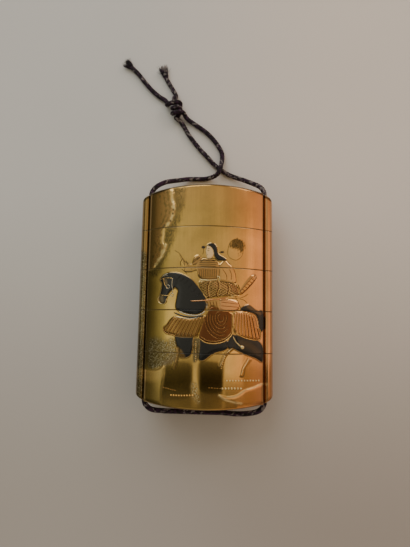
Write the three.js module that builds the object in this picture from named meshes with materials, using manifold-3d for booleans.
/**
 * Inro: a flat lacquered case of five stacked pieces, a lid and four cases, strung on one silk cord.
 *
 * Millimetres. The case lies on its back on the plane z = 0: +X runs across it, +Y runs towards the
 * lid, and +Z points up through the front face. The origin is under the middle of the case, at the
 * centre of the small flat that it rests on. Every case carries an inner rim that stands up inside
 * the piece above it, and a cord channel runs down each side through all five pieces.
 */
import * as THREE from 'three';
import { mergeVertices } from 'three/addons/utils/BufferGeometryUtils.js';
import Module from 'manifold-3d';

const wasm = await Module();
wasm.setup();

// ---------------------------------------------------------------- driving dimensions

const THICKNESS = 24; // crown of the front face above the plane it rests on
const LENGTH = 86.8; // between the crowns of the two ends
const FACE_HALF_WIDTH = 23; // middle to the edge of the front face
const FACE_DROP = 7.1; // how far the face falls from its crown to that edge
const REST_FLAT_DEPTH = 0.35; // what is cut off the crown of the back, for a flat to lie on

const RUNNER_HALF_WIDTH = 27; // middle to the outside of a cord runner
const RUNNER_RADII = [2.4, 4]; // a runner's half width and half height
const CHANNEL_X = 23.6; // middle to the axis of a cord channel
const CHANNEL_RADIUS = 1.4;
const CHANNEL_SIDES = 12;

const END_RISE = 1.9; // how far an end bulges from the face's corners to its crown
const SHOULDER = { width: 2.9, inner: 1.7, round: 2.3, outer: 3.2 }; // a runner's end slopes back
const END_BULGE = 0.5; // how far an end bulges through the thickness
const EDGE_RADIUS = 1; // rounding between an end and the faces

const FIRST_SEAM = 26; // the seam under the lid
const CASE_PITCH = 16.15; // from seam to seam
const CASE_COUNT = 4;
const SEAM_GAP = 0.15;

const OUTER_WALL = 1.2; // a wall beside the recess that takes the rim below
const RIM_WALL = 1.3;
const RIM_CLEARANCE = 0.3;
const RIM_HEIGHT = 3.2;
const FLOOR = 1.6;
const END_WALL = 2.6; // the lid's top and the lowest case's bottom
const CAVITY_SIDE = 1.6; // channel wall beside the lid's recess, from the face's edge

const FIGURE_RELIEF = 0.35; // how proud the raised horse and rider stand
const LAND_RELIEF = 0.22; // and the cliff and the banks

const CORD_RADIUS = 1;
const CORD_SIDES = 8;
const FREE_STEP = 4.4; // length of one facet along a free strand
const HELD_STEP = 6; // and along the stretch in the channels
const CORD_GAP = 0.3;
const WRAP_FLATNESS = 0.7; // a turn of cord round the knot, its height over its width

const FACE_SEGMENTS = 12;
const OUTLINE_STEPS = 2; // straight pieces between two points of a smooth outline

const MID_Z = (THICKNESS - REST_FLAT_DEPTH) / 2;
const FACE_RADIUS = (FACE_HALF_WIDTH ** 2 + FACE_DROP ** 2) / (2 * FACE_DROP);
const SEAMS = Array.from({ length: CASE_COUNT }, (_, i) => FIRST_SEAM - i * CASE_PITCH);

// ---------------------------------------------------------------- materials

const goldLacquer = () =>
  new THREE.MeshStandardMaterial({ color: 0xb58a3c, roughness: 0.25, metalness: 0.8 });
const darkSilk = () => new THREE.MeshStandardMaterial({ color: 0x241a26, roughness: 0.85, metalness: 0 });

// ---------------------------------------------------------------- solids and shapes

/** A closed geometry as a solid that can be joined and cut. */
function solidOf(geometry) {
  const bare = geometry.clone();
  bare.deleteAttribute('normal');
  bare.deleteAttribute('uv');
  const merged = mergeVertices(bare);
  return new wasm.Manifold(
    new wasm.Mesh({
      numProp: 3,
      vertProperties: new Float32Array(merged.attributes.position.array),
      triVerts: new Uint32Array(merged.index.array),
    }),
  );
}

/** A solid as a geometry. */
function geometryOf(solid) {
  const { vertProperties, triVerts } = solid.getMesh();
  const geometry = new THREE.BufferGeometry();
  geometry.setAttribute('position', new THREE.BufferAttribute(new Float32Array(vertProperties), 3));
  geometry.setIndex(new THREE.BufferAttribute(new Uint32Array(triVerts), 1));
  geometry.computeVertexNormals();
  return geometry;
}

const joined = (solids) => solids.reduce((whole, solid) => whole.add(solid));

/** Extrudes a shape; basis says which way its first axis, its second axis and its depth run. */
function prism(shape, low, high, basis, curveSegments = FACE_SEGMENTS) {
  const geometry = new THREE.ExtrudeGeometry(shape, {
    depth: high - low,
    bevelEnabled: false,
    curveSegments,
  });
  geometry.translate(0, 0, low);
  geometry.applyMatrix4(new THREE.Matrix4().makeBasis(...basis));
  return solidOf(geometry);
}

const [X, Y, Z] = [0, 1, 2].map((axis) => new THREE.Vector3().setComponent(axis, 1));

/** A section drawn in x and z, run along y. */
const alongY = (section, low, high) => prism(section, -high, -low, [X, Z, Y.clone().negate()]);
/** An outline drawn in x and y, run up z. */
const alongZ = (outline, low, high) => prism(outline, low, high, [X, Y, Z]);
/** A profile drawn in y and z, run along x. */
const alongX = (profile, low, high) => prism(profile, low, high, [Y, Z, X]);

/** The lens between the front and the back face, made thinner by inset all round. */
function lensSection(inset, halfWidth) {
  const radius = FACE_RADIUS - inset;
  const turn = Math.asin(halfWidth / radius);
  const section = new THREE.Shape();
  section.absarc(0, THICKNESS - FACE_RADIUS, radius, Math.PI / 2 + turn, Math.PI / 2 - turn, true);
  const backCentre = FACE_RADIUS - REST_FLAT_DEPTH;
  section.absarc(0, backCentre, radius, -Math.PI / 2 + turn, -Math.PI / 2 - turn, true);
  section.closePath();
  return section;
}

/** The half-round tube at one side that holds a cord channel. */
function runnerSection(side) {
  const [halfWidth, halfHeight] = RUNNER_RADII;
  const middleX = side * (RUNNER_HALF_WIDTH - halfWidth);
  const section = new THREE.Shape();
  section.absellipse(middleX, MID_Z, halfWidth, halfHeight, 0, 2 * Math.PI);
  return section;
}

/** The case seen from the front: bulging ends, and runners that slope back at their ends. */
function frontOutline() {
  const half = LENGTH / 2;
  const corner = half - END_RISE;
  const radius = (FACE_HALF_WIDTH ** 2 + END_RISE ** 2) / (2 * END_RISE);
  const turn = Math.asin(FACE_HALF_WIDTH / radius);
  const slopeX = FACE_HALF_WIDTH + SHOULDER.width;
  const outline = new THREE.Shape();
  outline.moveTo(-RUNNER_HALF_WIDTH, SHOULDER.outer - corner);
  for (const end of [1, -1]) {
    outline.lineTo(-end * RUNNER_HALF_WIDTH, end * (corner - SHOULDER.outer));
    outline.quadraticCurveTo(
      -end * RUNNER_HALF_WIDTH, end * (corner - SHOULDER.round),
      -end * slopeX, end * (corner - SHOULDER.inner),
    );
    outline.lineTo(-end * FACE_HALF_WIDTH, end * corner);
    const middle = end * Math.PI / 2;
    outline.absarc(0, end * (half - radius), radius, middle + turn, middle - turn, true);
    outline.lineTo(end * slopeX, end * (corner - SHOULDER.inner));
    outline.quadraticCurveTo(
      end * RUNNER_HALF_WIDTH, end * (corner - SHOULDER.round),
      end * RUNNER_HALF_WIDTH, end * (corner - SHOULDER.outer),
    );
  }
  return outline;
}

/** The case seen from the side: a slight bulge through the thickness, and rounded edges. */
function sideProfile() {
  const half = LENGTH / 2;
  const top = THICKNESS + FIGURE_RELIEF;
  const shoulderY = half - END_BULGE;
  const profile = new THREE.Shape();
  profile.moveTo(-shoulderY + EDGE_RADIUS, 0);
  profile.lineTo(shoulderY - EDGE_RADIUS, 0);
  profile.quadraticCurveTo(shoulderY, 0, shoulderY, EDGE_RADIUS);
  profile.quadraticCurveTo(half + END_BULGE, MID_Z, shoulderY, top - EDGE_RADIUS);
  profile.quadraticCurveTo(shoulderY, top, shoulderY - EDGE_RADIUS, top);
  profile.lineTo(-shoulderY + EDGE_RADIUS, top);
  profile.quadraticCurveTo(-shoulderY, top, -shoulderY, top - EDGE_RADIUS);
  profile.quadraticCurveTo(-half - END_BULGE, MID_Z, -shoulderY, EDGE_RADIUS);
  profile.quadraticCurveTo(-shoulderY, 0, -shoulderY + EDGE_RADIUS, 0);
  return profile;
}

// ---------------------------------------------------------------- the raised picture

/** A closed outline that runs smoothly through a few points. */
function smooth(points) {
  const curve = new THREE.CatmullRomCurve3(
    points.map(([x, y]) => new THREE.Vector3(x, y, 0)), true, 'centripetal',
  );
  return new THREE.Shape(
    curve.getPoints(points.length * OUTLINE_STEPS).slice(0, -1).map(({ x, y }) => new THREE.Vector2(x, y)),
  );
}

/** A closed outline with straight sides. */
const straight = (points) => new THREE.Shape(points.map(([x, y]) => new THREE.Vector2(x, y)));

/** A round-ended bar that tapers from one point to another. */
function bar([x0, y0], r0, [x1, y1], r1) {
  const angle = Math.atan2(y1 - y0, x1 - x0);
  const outline = new THREE.Shape();
  outline.absarc(x0, y0, r0, angle + Math.PI / 2, angle + 1.5 * Math.PI, false);
  outline.absarc(x1, y1, r1, angle - Math.PI / 2, angle + Math.PI / 2, false);
  return outline;
}

const HORSE = [
  smooth([
    [-14.3, 7.7], [-7.3, 6.8], [-2.9, 3.4], [1, -3], [-1.6, -8], [-7.2, -8], [-10.6, -6], [-10.1, 1],
  ]), // neck
  smooth([
    [-17.3, 5.4], [-14.3, 7.4], [-10.5, 5], [-11.9, 1.4], [-14.5, -3.4], [-17.2, -3.6], [-16.6, 1.4],
  ]), // head
  smooth([[13.8, -6.2], [16.6, -3.9], [22.4, -6.2], [23, -11], [22, -14], [20.4, -9]]), // rump
  smooth([[-10.2, -16], [-3.8, -16], [-3.9, -21.6], [-6.1, -24], [-9.1, -23]]), // chest
  smooth([[-1.5, -17], [8.5, -18.4], [8.9, -20.6], [3.9, -22.3], [-0.3, -25]]), // belly
  smooth([
    [9.7, -18], [12.2, -15.6], [20.9, -17.6], [22.9, -22.6], [22.1, -25.6], [17.5, -23.8], [9.9, -20.6],
  ]), // thigh
  bar([-2.5, -17.5], 0.9, [-2.5, -25], 0.6), // near foreleg
  bar([-9.5, -21], 0.6, [-10.5, -27.6], 0.4), // far foreleg
  bar([10.3, -20.4], 0.6, [6.9, -26], 0.5), // near hind leg
  bar([17.3, -23.6], 0.6, [14.5, -29.6], 0.5), // far hind leg
];

const HARNESS = [
  smooth([
    [-11.2, -8.8], [-15.4, -13.6], [-13.6, -15.4], [-2.2, -16.2], [0.6, -8.4], [-5.2, -9.2],
  ]), // breast apron
  smooth([[1.2, -5], [5.2, -3.6], [10.4, -6.6], [11, -13], [7.5, -18], [-1.3, -17], [-0.6, -12]]), // flap
  smooth([[11.3, -6.9], [14.8, -6.8], [19.8, -8.6], [21.8, -15], [21.3, -17.2], [12, -14.8]]), // rear apron
  bar([11.2, -16.2], 0.4, [14.3, -19.8], 0.8), // strap and bell
];

const RIDER = [
  smooth([[-2.9, 11], [-0.3, 13.3], [4.3, 12.6], [5.9, 10], [5.5, 5], [-1.5, 5]]), // breast armour
  smooth([[5.7, 10.2], [8.3, 12.8], [10.9, 10.6], [12.2, 5], [5.9, 4.4]]), // sleeve
  smooth([[-2.5, 11.6], [-4.7, 10.4], [-7.9, 11.4], [-7.7, 8.4], [-1.9, 7.6]]), // rein arm
  smooth([[-1.9, 5], [11.3, 4.2], [11.6, -0.2], [13.4, -5.6], [5.2, -5.6], [0.4, -1.2]]), // skirt
  smooth([[0.8, 18.2], [2.8, 19.4], [4.8, 17.6], [8.7, 12.8], [4.1, 12.6], [0.7, 13], [0.5, 15.6]]), // head
  bar([11.7, 15.9], 2.6, [12.1, 18.2], 2.3), // round hat on the back
  bar([14.3, 1.4], 0.9, [18.7, 7], 0.9), // scabbard
  bar([-4.6, -3], 0.3, [12.2, -0.9], 0.3), // blade
];

const LAND = [
  straight([
    [-24, 45], [-13.1, 45], [-12.5, 37], [-11.7, 33.4], [-12.3, 29.6], [-14.2, 26.6], [-16, 24.6],
    [-16.3, 20.6], [-14.8, 19], [-15.3, 17], [-17.2, 13.6], [-20.1, 10], [-21.1, 5], [-24, 3],
  ]), // cliff
  straight([
    [-24, -29.4], [-18.5, -29.2], [-14.3, -26.4], [-14.9, -31], [-17, -38], [-17, -45], [-24, -45],
  ]), // left bank
  smooth([[6, -37], [10, -38.9], [15, -40.2], [14, -46], [-3, -46], [0, -39]]), // near bank
  straight([
    [9, -37.6], [13, -37], [15.6, -35.4], [19, -34.4], [24, -33.8], [24, -45], [15.6, -45], [15, -39.6],
  ]), // right bank
];

/** The part of outlines that stands proud of the front face by a height. */
function raised(outlines, height) {
  const shell = alongY(lensSection(-height, FACE_HALF_WIDTH - SEAM_GAP), -LENGTH / 2, LENGTH / 2);
  const prisms = outlines.map((outline) => alongZ(outline, MID_Z, THICKNESS + 1));
  return joined(prisms).intersect(shell);
}

// ---------------------------------------------------------------- the case

/** A straight cord channel through both runners. */
function channel(side) {
  const bore = new THREE.CylinderGeometry(CHANNEL_RADIUS, CHANNEL_RADIUS, LENGTH, CHANNEL_SIDES);
  bore.translate(side * CHANNEL_X, 0, MID_Z);
  return solidOf(bore);
}

/** The closed, solid form of the whole case, with its picture and its channels. */
function wholeCase() {
  const half = LENGTH / 2;
  const lens = alongY(lensSection(0, FACE_HALF_WIDTH), -half, half);
  const runners = [-1, 1].map((side) => alongY(runnerSection(side), -half, half));
  const figures = raised([...HORSE, ...HARNESS, ...RIDER], FIGURE_RELIEF);
  const land = raised(LAND, LAND_RELIEF);
  return joined([lens, ...runners, figures, land])
    .intersect(alongZ(frontOutline(), -1, THICKNESS + 1))
    .intersect(alongX(sideProfile(), -RUNNER_HALF_WIDTH - 1, RUNNER_HALF_WIDTH + 1))
    .subtract(joined([-1, 1].map(channel)));
}

/** The piece of the whole case between two heights. */
function slice(whole, low, high) {
  const slab = new THREE.BoxGeometry(4 * RUNNER_HALF_WIDTH, high - low, 4 * THICKNESS);
  slab.translate(0, (low + high) / 2, 0);
  return whole.intersect(solidOf(slab));
}

const recessHalfWidth = FACE_HALF_WIDTH - CAVITY_SIDE;
const recess = (low, high) => alongY(lensSection(OUTER_WALL, recessHalfWidth), low, high);
const rim = (low, high) =>
  alongY(lensSection(OUTER_WALL + RIM_CLEARANCE, recessHalfWidth - RIM_CLEARANCE), low, high);
const cavity = (low, high) =>
  alongY(
    lensSection(OUTER_WALL + RIM_CLEARANCE + RIM_WALL, recessHalfWidth - RIM_CLEARANCE - RIM_WALL),
    low, high,
  );

/** The lid: a hollow cap that slides down over the highest rim. */
function makeLid(whole) {
  const low = SEAMS[0] + SEAM_GAP / 2;
  return slice(whole, low, LENGTH).subtract(recess(low - 1, LENGTH / 2 - END_WALL));
}

/** One case: a floor, a cavity open upwards, a rim, and a recess below unless it is the lowest. */
function makeCase(whole, index) {
  const isLowest = index === CASE_COUNT - 1;
  const high = SEAMS[index] - SEAM_GAP / 2;
  const low = isLowest ? -LENGTH : SEAMS[index + 1] + SEAM_GAP / 2;
  const recessTop = low + RIM_HEIGHT + RIM_CLEARANCE;
  const cavityFloor = isLowest ? -LENGTH / 2 + END_WALL : recessTop + FLOOR;
  const rimTop = high + RIM_HEIGHT;
  const body = slice(whole, low, high)
    .add(rim(high - RIM_WALL, rimTop))
    .subtract(cavity(cavityFloor, rimTop + 1));
  return isLowest ? body : body.subtract(recess(low - 1, recessTop));
}

// ---------------------------------------------------------------- the cord

// The stretch that the case holds: down one channel, across under the lowest case, up the other.
const HELD_ROUTE = [
  [-23.6, 40.1, MID_Z], [-23.6, 14, MID_Z], [-23.6, -14, MID_Z], [-23.6, -38.4, MID_Z],
  [-23.5, -42.6, 11.8], [-21.4, -45, 11.5], [-17, -45.8, 11], [-9.4, -45.9, 10.8], [0, -45.9, 10.8],
  [7, -45.9, 10.8], [13, -46.2, 10.9], [18, -45.8, 11.2], [21.8, -44.6, 11.6], [23.5, -42.4, 11.8],
  [23.6, -38.4, MID_Z], [23.6, -14, MID_Z], [23.6, 14, MID_Z], [23.6, 40.1, MID_Z],
];

// The free strands, each from its channel's mouth to the knot; the left one crosses over the right.
const LEFT_ROUTE = [
  [-23.6, 40.4, MID_Z], [-23.4, 43.4, 11.8], [-21.8, 46.1, 11.1], [-19.8, 48.1, 9.4], [-17.9, 49.7, 7.2],
  [-15.6, 50.9, 5], [-12.3, 52.1, 3], [-8.7, 53, 1.6], [-5.3, 53.2, 1.1], [-1.9, 53.2, 1.1],
  [0.6, 53.5, 1.7], [2.6, 53.9, 2.8], [4.2, 54.8, 3.7], [5.1, 56.7, 4], [5.6, 59.2, 3.2],
  [5.9, 62, 1.8], [5.7, 65.5, 1.1], [4.4, 68.1, 1.1], [2.5, 71, 1.1], [-0.5, 74.4, 1.1],
  [-3.5, 76.9, 1.1], [-7.2, 79.6, 1.1], [-10.2, 81.7, 1.4], [-12.3, 83, 1.9],
];
const RIGHT_ROUTE = [
  [23.6, 40.4, MID_Z], [23.8, 43.1, 11.7], [22.9, 45.1, 11.2], [21.5, 46.8, 9.8], [20, 48.3, 7.8],
  [17.4, 50.4, 5], [14.8, 52.1, 3.2], [12.2, 53.5, 1.9], [9.7, 54.7, 1.2], [7.3, 56.1, 1.1],
  [4.5, 58, 1.1], [1.8, 60.5, 1.1], [-0.7, 63.4, 1.1], [-3.3, 66.2, 1.1], [-6.3, 69.9, 1.1],
  [-9.3, 73.9, 1.1], [-11.5, 77.7, 1.1], [-13.3, 80.5, 1.3], [-14.9, 82.7, 1.7],
];
const LEFT_TAIL = [
  [-18.2, 89.4, 1.7], [-20.6, 91, 1.3], [-23.6, 93.1, 1.1], [-27.3, 96.5, 1.1], [-30.6, 100.4, 1.1],
  [-34, 104.8, 1.1], [-37.3, 108.1, 1.1], [-40.2, 110.8, 1.1],
];
const RIGHT_TAIL = [
  [-15.9, 89.9, 1.9], [-15.7, 93, 1.5], [-17.5, 96.6, 1.1], [-19.4, 99.8, 1.1], [-21, 103.2, 1.1],
  [-21.6, 106.4, 1.1], [-21, 108.3, 1.1],
];
const KNOT = { centre: [-16, 86.6, 2.3], radii: [2.7, 5.6, 2.1], turn: 0.35, wraps: [-1.6, 1.9] };

const route = (points) =>
  new THREE.CatmullRomCurve3(points.map((point) => new THREE.Vector3(...point)), false, 'centripetal');

/** A faceted tube along a route, with facets of about one step. */
function cordTube(points, step = FREE_STEP) {
  const extrudePath = route(points);
  const section = new THREE.Shape(
    Array.from({ length: CORD_SIDES }, (_, i) => {
      const angle = (2 * Math.PI * i) / CORD_SIDES;
      return new THREE.Vector2(CORD_RADIUS * Math.cos(angle), CORD_RADIUS * Math.sin(angle));
    }),
  );
  const steps = Math.ceil(extrudePath.getLength() / step);
  return new THREE.ExtrudeGeometry(section, { steps, extrudePath });
}

/** A short round socket that keeps the knot clear of a cord's end; t is 0 or 1 along its route. */
function socket(points, t) {
  const path = route(points);
  const outward = path.getTangentAt(t).multiplyScalar(t === 0 ? -1 : 1);
  const radius = CORD_RADIUS + CORD_GAP;
  const depth = 8 * CORD_RADIUS;
  const hole = new THREE.CylinderGeometry(radius, radius, depth, CORD_SIDES);
  hole.applyQuaternion(new THREE.Quaternion().setFromUnitVectors(Y, outward));
  const middle = path.getPointAt(t).addScaledVector(outward, CORD_GAP - depth / 2);
  hole.translate(middle.x, middle.y, middle.z);
  return solidOf(hole);
}

/** The knot: a plump core with two turns of cord round it, open where the four cord ends enter. */
function knotSolid() {
  const core = new THREE.SphereGeometry(1, 12, 8);
  core.scale(...KNOT.radii);
  const turns = KNOT.wraps.map((along) => {
    const ring = new THREE.TorusGeometry(KNOT.radii[0] - CORD_RADIUS / 2, CORD_RADIUS, 6, 12);
    ring.rotateX(Math.PI / 2);
    ring.scale(1, 1, WRAP_FLATNESS);
    ring.translate(0, along, 0);
    return solidOf(ring);
  });
  const entries = [
    socket(LEFT_ROUTE, 1), socket(RIGHT_ROUTE, 1), socket(LEFT_TAIL, 0), socket(RIGHT_TAIL, 0),
  ];
  return joined([solidOf(core), ...turns])
    .rotate([0, 0, THREE.MathUtils.radToDeg(KNOT.turn)])
    .translate(KNOT.centre)
    .subtract(joined(entries));
}

// ---------------------------------------------------------------- the model

/** A named piece. */
function piece(name, geometry, material) {
  const mesh = new THREE.Mesh(geometry, material);
  mesh.name = name;
  return mesh;
}

const whole = wholeCase();
const inro = new THREE.Group();
inro.add(piece('lid', geometryOf(makeLid(whole)), goldLacquer()));
for (let i = 0; i < CASE_COUNT; i += 1) {
  inro.add(piece(`case_${i + 1}`, geometryOf(makeCase(whole, i)), goldLacquer()));
}

const cord = new THREE.Group();
cord.add(
  piece('cord_held', cordTube(HELD_ROUTE, HELD_STEP), darkSilk()),
  piece('cord_left', cordTube(LEFT_ROUTE), darkSilk()),
  piece('cord_right', cordTube(RIGHT_ROUTE), darkSilk()),
  piece('cord_knot', geometryOf(knotSolid()), darkSilk()),
  piece('cord_tail_left', cordTube(LEFT_TAIL), darkSilk()),
  piece('cord_tail_right', cordTube(RIGHT_TAIL), darkSilk()),
);
inro.add(cord);

export default inro;
